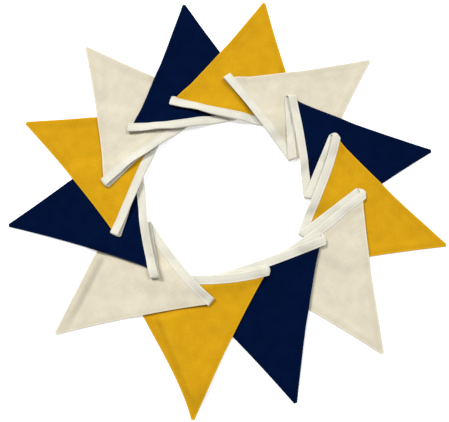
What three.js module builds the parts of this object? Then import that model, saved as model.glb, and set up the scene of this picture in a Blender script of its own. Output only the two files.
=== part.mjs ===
// Fabric bunting: twelve triangular pennants on one folded binding tape, laid out as a wreath.
// Millimetres, +Z up. The origin is on the surface, under the middle of the wreath's outline.
// The tape runs clockwise in a zigzag: along a pennant, back over itself, and on along the next one.
import * as THREE from 'three';

// Pennant
const FLAG_WIDTH = 180;        // top edge, corner to corner
const FLAG_HEIGHT = 170;       // top edge to tip
const TIP_WIDTH = 4;           // the blunt end of the tip
const SIDE_HOLLOW = 3;         // how far the middle of a side edge draws in
const CLOTH = 1.0;             // two layers of cotton, sewn and turned

// Binding tape, folded lengthwise over the pennants' top edges
const TAPE_WIDTH = 11.5;
const TAPE_LIP = 0.4;          // one folded side of the tape
const TAPE_SPINE = 1.6;        // from the closed edge to the bottom of the fold inside
const TAPE_NOSE = 0.7;         // roundness of the closed edge
const TUCK = 8.5;               // how deep a pennant's top edge sits in the fold
const EASE = 0.35;             // room between the tape and the cloth in it
const LEAD_EASE = 1 / 3;       // share of the way along a pennant in which the leading fold's slant ends
const TAIL = 16;               // bare tape at each end of the string

// How the layers lie
const SPACING = 0.35;          // air between a layer and the one under it
const DRAPE = 48;              // how far a layer takes to come down past the edge of one below
const LIFT_REACH = 24;         // how far the cloth takes to come down from the fold of the tape
const LAYERS_UNDER = 10;       // how many earlier layers can lie under one

// One row for each pennant, clockwise from the top. x, y: the middle of its top edge.
// tip: which way it points, degrees from +X. lead: bare tape past its leading corner.
// slip: how far the tape under it shows on the inner side there. bow: how far its top edge bows to the
// tip. sway: how much more it bows in its trailing half than in the other. gap: bare tape after it.
const NAVY = 'navy';
const MUSTARD = 'mustard';
const CREAM = 'cream';
const LAYOUT = [
  { colour: NAVY, x: -35.9, y: 108, tip: 98.5, lead: 6, slip: 0, bow: -3, sway: 1.8, gap: 50 },
  { colour: MUSTARD, x: 18.9, y: 112.7, tip: 78.1, lead: 4, slip: -3, bow: -0.8, sway: 0, gap: 50 },
  { colour: CREAM, x: 62.7, y: 89.2, tip: 36.3, lead: 6, slip: 0, bow: 2, sway: -0.4, gap: 50 },
  { colour: NAVY, x: 106.3, y: 39.2, tip: 6.6, lead: 6, slip: 4, bow: 2.5, sway: -0.9, gap: 50 },
  { colour: MUSTARD, x: 122.9, y: -14.2, tip: 341.5, lead: 3, slip: 4, bow: -2.5, sway: -7.3, gap: 50 },
  { colour: CREAM, x: 101.9, y: -59.3, tip: 302.6, lead: 4, slip: 7, bow: 8.7, sway: 5, gap: 50 },
  { colour: NAVY, x: 32.6, y: -98.3, tip: 287.5, lead: 8, slip: 6, bow: 4.3, sway: 1.3, gap: 50 },
  { colour: MUSTARD, x: -42.9, y: -109.5, tip: 270.6, lead: 5, slip: 3, bow: 8.5, sway: -2.7, gap: 50 },
  { colour: CREAM, x: -81.2, y: -72.5, tip: 218.6, lead: 1, slip: 0, bow: 5.6, sway: -2.1, gap: 18 },
  { colour: NAVY, x: -117.6, y: -8.7, tip: 191.4, lead: 12, slip: 0, bow: -0.1, sway: -4.5, gap: 50 },
  { colour: MUSTARD, x: -115.2, y: 35.2, tip: 158.2, lead: 3, slip: 3, bow: 0.8, sway: 0.5, gap: 50 },
  { colour: CREAM, x: -91.5, y: 77, tip: 128.4, lead: 3, slip: 3, bow: 1.1, sway: -3.9, gap: 50 },
];

// Mesh steps
const COLUMNS = 12;            // along the top edge, from the leading corner to the turned one
const CORNER_STEPS = 3;        // along the top edge of the turned corner
const ROW_STEP = 12;           // from one row of points to the next, towards the tip
const FOLD_STEPS = 4;          // round half a turn
const BARE_STEP = 13;          // along the bare tape

const FINISH = {
  [NAVY]: { color: '#030f2e', roughness: 0.92 },
  [MUSTARD]: { color: '#dba31a', roughness: 0.9 },
  [CREAM]: { color: '#e3dbc4', roughness: 0.9 },
  tape: { color: '#e8e2d3', roughness: 0.85 },
};

const BAND = 2 * (TAPE_LIP + EASE) + CLOTH;    // the tape's thickness over a pennant
const BARE = 2 * TAPE_LIP + EASE;              // and between two
const HALF = FLAG_WIDTH / 2;
const UP = new THREE.Vector3(0, 0, 1);
const count = LAYOUT.length;
const wrap = (i) => (i + 2 * count) % count;
const v2 = (x, y) => new THREE.Vector2(x, y);
const mix = (a, b, t) => a.clone().lerp(b, t);
const range = (n) => Array.from({ length: n }, (_, i) => i);

// The pennant's own axes: along its top edge, from the leading corner on, and out to its tip.
function place(row) {
  const turn = THREE.MathUtils.degToRad(row.tip);
  const out = v2(Math.cos(turn), Math.sin(turn));
  const along = v2(out.y, -out.x);
  const middle = v2(row.x, row.y);
  const at = (x, y) => middle.clone().addScaledVector(along, x).addScaledVector(out, y);
  const sag = (x) => (row.bow + row.sway * x / HALF) * (1 - (x / HALF) ** 2);
  const edge = (x) => at(x, sag(x));
  // Across the tape at x, from its open edge to its closed edge.
  const inward = (x) => {
    const t = x / HALF;
    const slope = (row.sway * (1 - 3 * t ** 2) - 2 * row.bow * t) / HALF;
    return along.clone().multiplyScalar(slope).sub(out).normalize();
  };
  const tips = [at(-TIP_WIDTH / 2, FLAG_HEIGHT), at(TIP_WIDTH / 2, FLAG_HEIGHT)];
  return { row, out, along, at, sag, edge, inward, tips };
}
const places = LAYOUT.map(place);

// The crossing point of two lines, each given by a point and a direction.
function meet(p, u, q, v) {
  const cross = u.x * v.y - u.y * v.x;
  const gap = q.clone().sub(p);
  return p.clone().addScaledVector(u, (gap.x * v.y - gap.y * v.x) / cross);
}

// The direction of the crease that turns a strip from one direction to another, pointing to a side.
function creaseBetween(from, to, side) {
  const crease = from.clone().add(to).normalize();
  return crease.dot(side) < 0 ? crease.negate() : crease;
}

// The tape folds back where its length runs out: from one leading fold to the next it measures one
// pennant and one gap. The pennant's trailing corner turns over with it, along one crease.
places.forEach((flag, i) => {
  const next = places[wrap(i + 1)];
  const start = flag.edge(-HALF);
  const far = next.edge(-HALF - next.row.lead).addScaledVector(next.inward(-HALF), next.row.slip);
  const reach = FLAG_WIDTH + flag.row.gap - flag.row.lead;
  const back = start.clone().sub(far);
  const held = (reach ** 2 - back.lengthSq()) / (2 * (reach + back.dot(flag.along)));
  flag.turnX = held - HALF;
  flag.turn = flag.edge(flag.turnX);
  flag.far = far;
  const corner = flag.at(HALF, 0);
  flag.back = far.clone().sub(flag.turn).normalize();
  flag.crease = creaseBetween(corner.clone().sub(flag.turn).normalize(), flag.back, flag.out);
  flag.exit = meet(flag.turn, flag.crease, corner, flag.tips[1].clone().sub(corner));
  flag.exitPart = flag.exit.distanceTo(corner) / flag.tips[1].distanceTo(corner);
  // The corner where it comes to lie, mirrored in the crease.
  const leg = corner.clone().sub(flag.turn);
  const along = leg.dot(flag.crease);
  flag.corner = flag.turn.clone().addScaledVector(flag.crease, 2 * along).sub(leg);
  flag.backLength = flag.turn.distanceTo(far);
  flag.cornerLength = flag.turn.distanceTo(flag.corner);
  // Across the tape on its way back, from the open edge to the closed one.
  const side = v2(-flag.back.y, flag.back.x);
  flag.backInward = side.dot(flag.out) > 0 ? side.negate() : side;
});

// From 0 at the reach to 1 where the distance is nought, with no kink at either end.
function near(distance, reach) {
  const t = Math.min(distance / reach, 1);
  return 0.5 + 0.5 * Math.cos(Math.PI * t);
}

// How far a point lies outside a convex outline.
function outside(p, outline) {
  let nearest = Infinity;
  let left = 0;
  let right = 0;
  outline.forEach((a, i) => {
    const b = outline[(i + 1) % outline.length];
    const ab = b.clone().sub(a);
    const ap = p.clone().sub(a);
    const side = ab.x * ap.y - ab.y * ap.x;
    if (side > 0) left += 1;
    if (side < 0) right += 1;
    const t = THREE.MathUtils.clamp(ap.dot(ab) / ab.lengthSq(), 0, 1);
    nearest = Math.min(nearest, ap.addScaledVector(ab, -t).length());
  });
  return left === 0 || right === 0 ? 0 : nearest;
}

// Two layers for each pennant, bottom to top: the pennant with the tape along it, then the tape on
// its way back with the turned corner. thin outlines single cloth or bare tape, thick the tape with
// cloth in it.
const layers = places.flatMap((flag) => {
  const [start, end] = [-HALF - flag.row.lead, flag.turnX + TAPE_WIDTH / 2];
  const middle = (start + end) / 2;
  const closed = (x) => flag.edge(x).addScaledVector(flag.inward(x), TAPE_WIDTH);
  const strip = (from, to) => [closed(from), closed(to), flag.edge(to), flag.edge(from)];
  const panel = [closed(start), closed(end), flag.exit, ...flag.tips.toReversed(), flag.at(-HALF, 0)];
  const returning = (from, to) => [
    [from, 0], [to, 0], [to, TAPE_WIDTH], [from, TAPE_WIDTH],
  ].map(([distance, across]) => flag.turn.clone()
    .addScaledVector(flag.back, distance).addScaledVector(flag.backInward, across));
  return [
    { thin: [panel], thick: [strip(start, middle), strip(middle, end)] },
    {
      thin: [[flag.turn, flag.corner, flag.exit], returning(flag.cornerLength, flag.backLength)],
      thick: [returning(-TAPE_WIDTH / 2, flag.cornerLength + TAPE_WIDTH / 2)],
    },
  ];
});

// From 0 on any of the outlines to 1 past the reach of them all.
const miss = (p, outlines, reach) => outlines.reduce((rest, outline) => (
  rest * (1 - near(outside(p, outline), reach))), 1);

// The height that a layer takes up for what lies on it, easing off outside its outlines.
function cover(layer, p) {
  const thick = miss(p, layer.thick, DRAPE);
  const all = thick * miss(p, layer.thin, DRAPE);
  return (BARE + SPACING) * (1 - all) + (BAND - BARE) * (1 - thick);
}

// The height of a layer's underside: what all the layers under it take up.
function under(index, p) {
  let height = 0;
  for (let k = 1; k <= LAYERS_UNDER; k += 1) {
    height += cover(layers[(index - k + layers.length) % layers.length], p);
  }
  return height;
}

// The middle of the cloth in a layer: it lies on what is under it, and rises into the tape's fold.
function clothHeight(index, p) {
  const rise = (BAND - CLOTH) / 2 * (1 - miss(p, layers[index].thick, LIFT_REACH));
  return under(index, p) + CLOTH / 2 + rise;
}

const on = (p, z) => new THREE.Vector3(p.x, p.y, z);

// A closed solid from an open sheet of triangles: the sheet's points are moved half the thickness
// to either side along their normals, and a wall closes the rim.
function thicken(points, faces, thickness) {
  const normals = points.map(() => new THREE.Vector3());
  const rim = new Map();
  faces.forEach(([a, b, c]) => {
    const normal = points[b].clone().sub(points[a]).cross(points[c].clone().sub(points[a]));
    [a, b, c].forEach((i) => normals[i].add(normal));
    [[a, b], [b, c], [c, a]].forEach(([i, j]) => {
      if (!rim.delete(`${j},${i}`)) rim.set(`${i},${j}`, [i, j]);
    });
  });
  const size = points.length;
  const vertices = [1, -1].flatMap((side) => points.flatMap((p, i) => (
    p.clone().addScaledVector(normals[i].clone().normalize(), side * thickness / 2).toArray())));
  const index = faces.flatMap(([a, b, c]) => [a, b, c, a + size, c + size, b + size]);
  rim.forEach(([i, j]) => index.push(i, i + size, j, j, i + size, j + size));
  return solid(vertices, index);
}

function solid(vertices, index) {
  const geometry = new THREE.BufferGeometry();
  geometry.setAttribute('position', new THREE.Float32BufferAttribute(vertices, 3));
  geometry.setIndex(index);
  geometry.computeVertexNormals();
  return geometry;
}

// A sheet that is put together from bands of triangles, which share the points that coincide.
function sheet() {
  const points = [];
  const faces = [];
  const seen = new Map();
  const add = (p) => {
    const key = [p.x, p.y, p.z].map((value) => Math.round(value * 1000)).join();
    if (!seen.has(key)) {
      seen.set(key, points.length);
      points.push(p);
    }
    return seen.get(key);
  };
  // A band from one row of points to the next one out, however many points each has.
  const band = (inner, outer) => {
    const [a, b] = [inner.map(add), outer.map(add)];
    let [i, j] = [0, 0];
    while (i < a.length - 1 || j < b.length - 1) {
      const onward = (i + 0.5) * (b.length - 1) <= (j + 0.5) * (a.length - 1);
      if (i < a.length - 1 && (onward || j === b.length - 1)) {
        faces.push([a[i], a[i + 1], b[j]]);
        i += 1;
      } else {
        faces.push([a[i], b[j + 1], b[j]]);
        j += 1;
      }
    }
  };
  const bands = (rows) => rows.slice(1).forEach((row, r) => band(rows[r], row));
  return { points, faces, bands };
}

// From one share to another in equal steps of about the given one.
function shares(from, to, step) {
  const steps = Math.max(1, Math.round((to - from) / step));
  return range(steps + 1).map((k) => THREE.MathUtils.lerp(from, to, k / steps));
}

// How far a side edge has drawn in, part of the way from its corner to the tip.
const hollow = (part) => 4 * SIDE_HOLLOW * part * (1 - part);

// A row of the panel, part of the way from the top edge to the tip, from the leading side to the
// crease or, past the end of the crease, to the trailing side.
function panelRow(flag, part) {
  const start = mix(flag.at(-HALF, 0), flag.tips[0], part).addScaledVector(flag.along, hollow(part));
  const beyond = (part - flag.exitPart) / (1 - flag.exitPart);
  const end = beyond < 0
    ? mix(flag.turn, flag.exit, part / flag.exitPart)
    : mix(flag.exit, flag.tips[1], beyond).addScaledVector(flag.along, -hollow(beyond));
  const width = start.distanceTo(end) / (HALF + flag.turnX);
  const steps = Math.max(1, Math.round(COLUMNS * width));
  return range(steps + 1).map((c) => {
    const t = c / steps;
    const bow = flag.sag(THREE.MathUtils.lerp(-HALF, flag.turnX, t)) - t * flag.sag(flag.turnX);
    return mix(start, end, t).addScaledVector(flag.out, bow * (1 - part));
  });
}

// A pennant: its top edge in the tape, the panel up to the crease, the half turn along it, and the
// corner turned over.
function flagGeometry(i) {
  const flag = places[i];
  const cloth = sheet();
  const lay = (index) => (p) => on(p, clothHeight(index, p));
  const [panel, turned] = [lay(2 * i), lay(2 * i + 1)];

  const tape = tapeOver(i);
  const mouth = tape.map(({ open }) => open);
  cloth.bands([tape.map(({ open, closed }) => open.clone().lerp(closed, TUCK / TAPE_WIDTH)), mouth]);

  const step = ROW_STEP / FLAG_HEIGHT;
  const parts = shares(0, flag.exitPart, step);
  const rows = [...parts, ...shares(flag.exitPart, 1, step).slice(1)].slice(1);
  cloth.bands([mouth.slice(0, COLUMNS + 1), ...rows.map((part) => panelRow(flag, part).map(panel))]);

  const bendEnd = COLUMNS + FOLD_STEPS;
  const away = squareTo(flag.crease, flag.along);
  const crease = parts.slice(1).map((part) => mix(flag.turn, flag.exit, part / flag.exitPart));
  cloth.bands([mouth.slice(COLUMNS, bendEnd + 1),
    ...crease.map((p) => roundTurn(panel(p), turned(p), away))]);

  const corner = crease.map((p, k) => {
    const left = 1 - (k + 1) / crease.length;
    const side = mix(flag.exit, flag.corner, left);
    const steps = Math.ceil(CORNER_STEPS * left);
    return range(steps + 1).map((c) => turned(mix(p, side, c / Math.max(steps, 1))));
  });
  cloth.bands([mouth.slice(bendEnd), ...corner]);
  return thicken(cloth.points, cloth.faces, CLOTH);
}

// Half a turn from one point to the one above it, bulging to one side.
function roundTurn(from, to, away) {
  const level = on(to, from.z);
  const radius = (to.z - from.z) / 2;
  return range(FOLD_STEPS + 1).map((k) => {
    const angle = Math.PI * k / FOLD_STEPS;
    const p = from.clone().lerp(level, (1 - Math.cos(angle)) / 2);
    p.x += away.x * radius * Math.sin(angle);
    p.y += away.y * radius * Math.sin(angle);
    p.z += radius * (1 - Math.cos(angle));
    return p;
  });
}

// Square to a crease, on the side of a direction.
function squareTo(crease, side) {
  const square = v2(crease.y, -crease.x);
  return square.dot(side) < 0 ? square.negate() : square;
}

// A station of the tape: the middle of its open edge and of its closed edge, the direction of the
// side that faces up on the way along a pennant, and its thickness.
function flat(index, open, closed, side, thickness) {
  const lay = (p) => on(p, under(index, p) + thickness / 2);
  const normal = UP.clone().multiplyScalar(side);
  return { open: lay(open), closed: lay(closed), normal, thickness };
}

// Half a turn of the tape from one station to another in the layer above it.
function fold(from, to, away) {
  const opens = roundTurn(from.open, to.open, away);
  const closeds = roundTurn(from.closed, to.closed, away);
  return range(FOLD_STEPS + 1).map((k) => {
    const angle = Math.PI * k / FOLD_STEPS;
    const normal = from.normal.clone().multiplyScalar(Math.cos(angle));
    normal.x = -from.normal.z * away.x * Math.sin(angle);
    normal.y = -from.normal.z * away.y * Math.sin(angle);
    const thickness = THREE.MathUtils.lerp(from.thickness, to.thickness, k / FOLD_STEPS);
    return { open: opens[k], closed: closeds[k], normal, thickness };
  });
}

// How far along the tape the closed edge lies from the open one, at a crease.
const shearOf = (crease, along, inward) => TAPE_WIDTH * crease.dot(along) / crease.dot(inward);

// The tape on its way back, at a distance from the trailing fold.
function backStation(i, distance, shear, thickness) {
  const flag = places[i];
  const open = flag.turn.clone().addScaledVector(flag.back, distance);
  const closed = open.clone().addScaledVector(flag.back, shear)
    .addScaledVector(flag.backInward, TAPE_WIDTH);
  return flat(2 * i + 1, open, closed, -1, thickness);
}

// The tape along a pennant, at x on its top edge.
function legStation(i, x, shear) {
  const flag = places[i];
  const open = flag.edge(x);
  const closed = open.clone().addScaledVector(flag.inward(x), TAPE_WIDTH)
    .addScaledVector(flag.along, shear);
  return flat(2 * i, open, closed, 1, BAND);
}

// The crease of the leading fold, and how far it shears the tape after it and before it.
function leadFold(i) {
  const flag = places[i];
  const before = places[wrap(i - 1)];
  const crease = creaseBetween(before.back, flag.along, flag.out);
  return {
    away: squareTo(crease, flag.along.clone().negate()),
    after: shearOf(crease, flag.along, flag.inward(-HALF)),
    before: shearOf(crease, before.back, before.backInward),
  };
}

// The tape with the pennant in it: along its top edge, round the crease, and along its corner.
function tapeOver(i) {
  const flag = places[i];
  const leadShear = leadFold(i).after;
  const endShear = shearOf(flag.crease, flag.along, flag.inward(flag.turnX));
  const leg = range(COLUMNS + 1).map((c) => {
    const t = c / COLUMNS;
    const shear = leadShear * Math.max(0, 1 - t / LEAD_EASE) + endShear * t;
    return legStation(i, THREE.MathUtils.lerp(-HALF, flag.turnX, t), shear);
  });
  const backShear = shearOf(flag.crease, flag.back, flag.backInward);
  const corner = range(CORNER_STEPS + 1).map((c) => {
    const t = c / CORNER_STEPS;
    return backStation(i, flag.cornerLength * t, backShear * (1 - t), BAND);
  });
  const bend = fold(leg[COLUMNS], corner[0], squareTo(flag.crease, flag.along));
  return [...leg.slice(0, -1), ...bend, ...corner.slice(1)];
}

// All the stations of the tape, from end to end. Both ends lie between the last pennant and the
// first, under the first one.
function tapeStations() {
  const stations = range(2).map((k) => (
    backStation(count - 1, places[count - 1].backLength - TAIL * (2 - k) / 2, 0, BARE)));
  places.forEach((flag, i) => {
    const before = wrap(i - 1);
    const lead = leadFold(i);
    const coming = backStation(before, places[before].backLength, lead.before, BARE);
    const going = legStation(i, -HALF - flag.row.lead, lead.after);
    stations.push(...fold(coming, going, lead.away), ...tapeOver(i));
    const bare = i === count - 1 ? TAIL : flag.backLength - flag.cornerLength;
    const steps = Math.max(2, Math.round(bare / BARE_STEP));
    const ends = i === count - 1 ? steps + 1 : steps;
    range(ends).slice(1).forEach((c) => {
      stations.push(backStation(i, flag.cornerLength + bare * c / steps, 0, BARE));
    });
  });
  return stations;
}

// The side of the tape's section that runs from the spine to the upper lip, inside, and the
// triangles that close the section where the tape is cut.
const INNER_TOP = 7;
const END = [[0, 1, 7], [0, 7, 8], [1, 2, 3], [1, 3, 6], [1, 6, 7], [3, 4, 5], [3, 5, 6]];

// The tape: its folded section carried through all its stations, with a cut end at either side.
function tapeGeometry() {
  const rings = tapeStations().map(({ open, closed, normal, thickness }) => {
    const half = thickness / 2;
    const inner = half - TAPE_LIP;
    const across = closed.clone().sub(open);
    const spine = closed.clone().addScaledVector(across, -TAPE_SPINE / across.length());
    const nose = closed.clone().addScaledVector(across, TAPE_NOSE / across.length());
    const off = (p, distance) => p.clone().addScaledVector(normal, distance);
    return [off(open, half), off(closed, half), nose, off(closed, -half), off(open, -half),
      off(open, -inner), off(spine, -inner), off(spine, inner), off(open, inner)];
  });
  const size = rings[0].length;
  const index = [];
  rings.slice(1).forEach((_, r) => range(size).forEach((c) => {
    const [a, b] = [r * size + c, r * size + (c + 1) % size];
    // Both inner sides are split along the same diagonal as the cloth between them.
    if (c === INNER_TOP) index.push(a, b, a + size, b, b + size, a + size);
    else index.push(a, b, b + size, a, b + size, a + size);
  }));
  const last = (rings.length - 1) * size;
  END.forEach(([a, b, c]) => index.push(a, c, b, last + a, last + b, last + c));
  return solid(rings.flat().flatMap((p) => p.toArray()), index);
}

function piece(name, geometry, finish) {
  const mesh = new THREE.Mesh(geometry, new THREE.MeshStandardMaterial({ metalness: 0, ...finish }));
  mesh.name = name;
  return mesh;
}

const bunting = new THREE.Group();
LAYOUT.forEach((row, i) => {
  const name = `flag_${String(i + 1).padStart(2, '0')}_${row.colour}`;
  bunting.add(piece(name, flagGeometry(i), FINISH[row.colour]));
});
bunting.add(piece('binding_tape', tapeGeometry(), FINISH.tape));

export default bunting;
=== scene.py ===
# %% [markdown]
# Fabric bunting, laid out as a wreath.
# Twelve cotton pennants in navy, mustard and cream hang on one folded tape. The string lies flat in a
# ring, and each pennant laps the one before it, all the way round.
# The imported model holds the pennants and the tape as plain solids. This script makes the cloth itself,
# where those solids lie: each pennant and the tape as a fine surface, worked out as whole arrays of
# points. The stitches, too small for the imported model, are made here alone.

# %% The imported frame
import math

import bpy
import numpy as np
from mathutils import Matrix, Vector


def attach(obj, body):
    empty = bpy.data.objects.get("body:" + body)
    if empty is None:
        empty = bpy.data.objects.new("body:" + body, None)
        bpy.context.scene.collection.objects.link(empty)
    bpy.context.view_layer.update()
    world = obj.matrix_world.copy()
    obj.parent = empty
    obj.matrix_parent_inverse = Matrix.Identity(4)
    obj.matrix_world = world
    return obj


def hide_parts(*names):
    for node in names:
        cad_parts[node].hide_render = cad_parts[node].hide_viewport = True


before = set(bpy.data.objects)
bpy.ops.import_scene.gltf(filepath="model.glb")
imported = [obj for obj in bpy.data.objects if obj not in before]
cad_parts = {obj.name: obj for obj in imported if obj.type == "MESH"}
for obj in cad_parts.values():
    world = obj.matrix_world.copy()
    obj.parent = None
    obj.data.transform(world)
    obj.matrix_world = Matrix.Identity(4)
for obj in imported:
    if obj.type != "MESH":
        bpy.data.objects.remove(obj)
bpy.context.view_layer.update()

# %% [markdown]
# Sizes. They could be in metres, as in Blender, but cloth is cut in millimetres, and 11.5 mm reads
# better than 0.0115 m. So they are in millimetres, and turn into metres only where Blender gets them.
# A pennant is two layers of cotton, and its top edge sits in the fold of the tape.

# %% Sizes
MM = 0.001
FLAG_WIDTH = 180.0  # top edge, corner to corner
FLAG_HEIGHT = 170.0  # top edge to tip
TIP_WIDTH = 4.0  # the blunt end of the tip
CLOTH = 1.0  # two layers of cotton, sewn and turned
TUCK = 8.5  # how deep a pennant's top edge sits in the fold
TAPE_WIDTH = 11.5  # folded
TAPE_LIP = 0.45  # one side of the folded tape
EASE = 0.25  # room between the tape and the cloth in it
HALF = FLAG_WIDTH / 2
BAND = 2 * (TAPE_LIP + EASE) + CLOTH
BARE = 2 * TAPE_LIP + EASE
print("tape:", round(BAND, 2), "mm thick with cloth in it,", round(BARE, 2), "without")

# %% [markdown]
# The layout. A rule could set the pennants evenly round a circle, but a hand laid this string, and no
# two lie alike. So each has a row, clockwise from the top, with these columns.
# x, y: the middle of the top edge. tip: which way it points, degrees from +X. lead: bare tape past the
# leading corner. slip: how far the tape under it shows there. bow: how far the top edge bows towards
# the tip. sway: how much more it bows in its trailing half. gap: bare tape after it. nose: how far the
# fold of the tape at the leading corner rounds out. lift: how far the leading side stands off the
# pennant before. spring: how far the closed edge of the tape stands up. curl: how far the trailing
# side curls up.

# %% The layout
COLUMNS = ("colour", "x", "y", "tip", "lead", "slip", "bow", "sway", "gap", "nose", "lift", "spring",
           "curl")
LAYOUT = [dict(zip(COLUMNS, row)) for row in (
    ("navy", -35.9, 108, 98.5, 6, 0, -3, 1.8, 50, 0.5, 2.5, 1.0, 0.8),
    ("mustard", 18.9, 112.7, 78.1, 4, -3, -0.8, 0, 50, 0.3, 1.5, 0.8, 0.8),
    ("cream", 62.7, 89.2, 36.3, 6, 0, 2, -0.4, 50, 0.3, 1.5, 1.5, 0.8),
    ("navy", 106.3, 39.2, 6.6, 6, 4, 2.5, -0.9, 50, 0.5, 1.5, 1.4, 0.8),
    ("mustard", 122.9, -14.2, 341.5, 3, 4, -2.5, -7.3, 50, 4, 1.5, 0.9, 0.8),
    ("cream", 101.9, -59.3, 302.6, 4, 7, 8.7, 5, 50, 5, 4, 0.3, 0.8),
    ("navy", 32.6, -98.3, 287.5, 8, 6, 4.3, 1.3, 50, 2.5, 3.5, 0.2, 2),
    ("mustard", -42.9, -109.5, 270.6, 5, 3, 8.5, -2.7, 50, 2, 1.5, 1.0, 0.8),
    ("cream", -81.2, -72.5, 218.6, 1, 0, 5.6, -2.1, 18, 0.3, 1.2, 2.2, 4),
    ("navy", -117.6, -8.7, 191.4, 12, 0, -0.1, -4.5, 50, 0.3, 1.5, 5.5, 1),
    ("mustard", -115.2, 35.2, 158.2, 3, 3, 0.8, 0.5, 50, 0.3, 1.5, 1.5, 1),
    ("cream", -91.5, 77, 128.4, 3, 3, 1.1, -3.9, 50, 1, 1.5, 1.1, 1),
)]
COUNT = len(LAYOUT)
print(COUNT, "pennants")

# %% [markdown]
# A pennant's own axes run along its top edge, from the leading corner on, and out to its tip. Its
# sides draw in a little, and its top edge bows as the tape was laid. Both could be drawn by hand as
# points, but a parabola that is nought at the corners says the same with one number.

# %% Axes and sides
SIDE_HOLLOW = 3.0  # how far the middle of a side edge draws in
SIDE_COSINE = FLAG_HEIGHT / math.hypot(FLAG_HEIGHT, HALF - TIP_WIDTH / 2)


def unit(v):
    """Vectors at length one."""
    return v / np.linalg.norm(v, axis=-1, keepdims=True)


def place(row):
    """The pennant's axes and the middle of its top edge. Out is (cos, sin) of the way the tip points,
    and along is out turned a quarter to the right."""
    turn = math.radians(row["tip"])
    out = np.array([math.cos(turn), math.sin(turn)])
    return dict(row, out=out, along=np.array([out[1], -out[0]]), middle=np.array([row["x"], row["y"]]))


def at(flag, x, y):
    """Middle of the top edge, plus x along it and y towards the tip."""
    x, y = np.broadcast_arrays(np.asarray(x, float), np.asarray(y, float))
    return flag["middle"] + x[..., None] * flag["along"] + y[..., None] * flag["out"]


def half_width(part):
    """Half the pennant's width at a share of its height: straight sides, each drawn in by a parabola
    that is nought at the corner and at the tip."""
    part = np.clip(part, 0, 1)
    return HALF - (HALF - TIP_WIDTH / 2) * part - 4 * SIDE_HOLLOW * part * (1 - part)


print("width half way down:", 2 * half_width(0.5), "mm")


# %% The top edge
def sag(flag, x):
    """The bow of the top edge: a parabola that is nought at both corners, leaning to one of them."""
    t = np.asarray(x, float) / HALF
    return (flag["bow"] + flag["sway"] * t) * (1 - t ** 2)


def edge(flag, x):
    """The top edge, with its bow."""
    return at(flag, x, sag(flag, x))


def inward(flag, x):
    """Square to the top edge, from the open edge of the tape to its closed edge. It comes from the
    slope of the bow."""
    t = np.asarray(x, float) / HALF
    slope = (flag["sway"] * (1 - 3 * t ** 2) - 2 * flag["bow"] * t) / HALF
    return unit(slope[..., None] * flag["along"] - flag["out"])


flags = [place(dict(row, index=i)) for i, row in enumerate(LAYOUT)]
print("bow of each top edge:", [flag["bow"] for flag in flags], "mm")

# %% [markdown]
# Where the tape folds back. The tape is one length, so from one leading corner to the next it always
# measures one pennant and one gap. The pennants lie closer than that. The tape has to fold back on
# itself, and it takes the pennant's trailing corner over with it, along one crease.
# The fold could be placed by eye, but the length of the tape gives it: what the tape runs on and what
# it runs back add up to the pitch.


# %% Creases
CREASE_SCALE = 2001  # places down a pennant at which its crease is tried


def crease_between(a, b, side):
    """The line that halves the turn from direction a to direction b, pointing to a side."""
    crease = unit(a + b)
    return crease if crease @ side > 0 else -crease


def square_to(line, side):
    """Square to a line, on the side of a direction."""
    v = np.array([line[1], -line[0]])
    return v if v @ side > 0 else -v


def crease_end(flag, turn_x, crease):
    """How far out along the pennant the crease crosses its trailing side, found on a fine scale."""
    height = np.linspace(0, FLAG_HEIGHT, CREASE_SCALE)
    on_line = turn_x + (height - sag(flag, turn_x)) * (crease @ flag["along"]) / (crease @ flag["out"])
    return np.interp(0, on_line - half_width(height / FLAG_HEIGHT), height)


def fold_back(flag, after):
    """The fold of the tape and the corner it turns over. From its leading corner the tape is held
    along the pennant for a stretch, then runs straight back to the next leading corner. With L for
    both together and d for the line between the corners, the stretch is (L^2 - d^2) / 2(L + d along
    the pennant)."""
    far = edge(after, -HALF - after["lead"]) + inward(after, -HALF) * after["slip"]
    length = FLAG_WIDTH + flag["gap"] - flag["lead"]
    apart = edge(flag, -HALF) - far
    held = (length ** 2 - apart @ apart) / (2 * (length + apart @ flag["along"]))
    turn_x = held - HALF
    turn = edge(flag, turn_x)
    back = unit(far - turn)
    leg = at(flag, HALF, 0) - turn
    crease = crease_between(unit(leg), back, flag["out"])
    exit_height = crease_end(flag, turn_x, crease)
    return dict(
        turn_x=turn_x, turn=turn, back=back, back_length=np.linalg.norm(far - turn),
        back_inward=square_to(back, -flag["out"]), crease=crease, away=square_to(crease, flag["along"]),
        exit_height=exit_height, exit=at(flag, half_width(exit_height / FLAG_HEIGHT), exit_height),
        tips=[at(flag, -TIP_WIDTH / 2, FLAG_HEIGHT), at(flag, TIP_WIDTH / 2, FLAG_HEIGHT)],
        folded_corner=turn + 2 * (leg @ crease) * crease - leg, corner_length=np.linalg.norm(leg))


for flag, after in zip(flags, flags[1:] + flags[:1]):
    flag.update(fold_back(flag, after))
print("tape held along each pennant:", [round(flag["turn_x"] + HALF) for flag in flags], "mm")

# %% [markdown]
# Soft steps. Cloth comes down from an edge in a slope that starts and ends softly. A straight ramp
# would be simpler, but it shades as a sharp line at its top and foot. So two curves make all slopes.


# %% Soft steps
def near(distance, reach):
    """From 0 at the reach to 1 at no distance: half a cosine wave."""
    return 0.5 + 0.5 * np.cos(np.pi * np.clip(distance / reach, 0, 1))


def smooth(t):
    """From 0 to 1 with no kink at either end: 3t^2 - 2t^3."""
    t = np.clip(t, 0, 1)
    return t * t * (3 - 2 * t)


print("near and smooth at a quarter:", near(0.25, 1).round(2), smooth(0.25).round(2))

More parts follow.
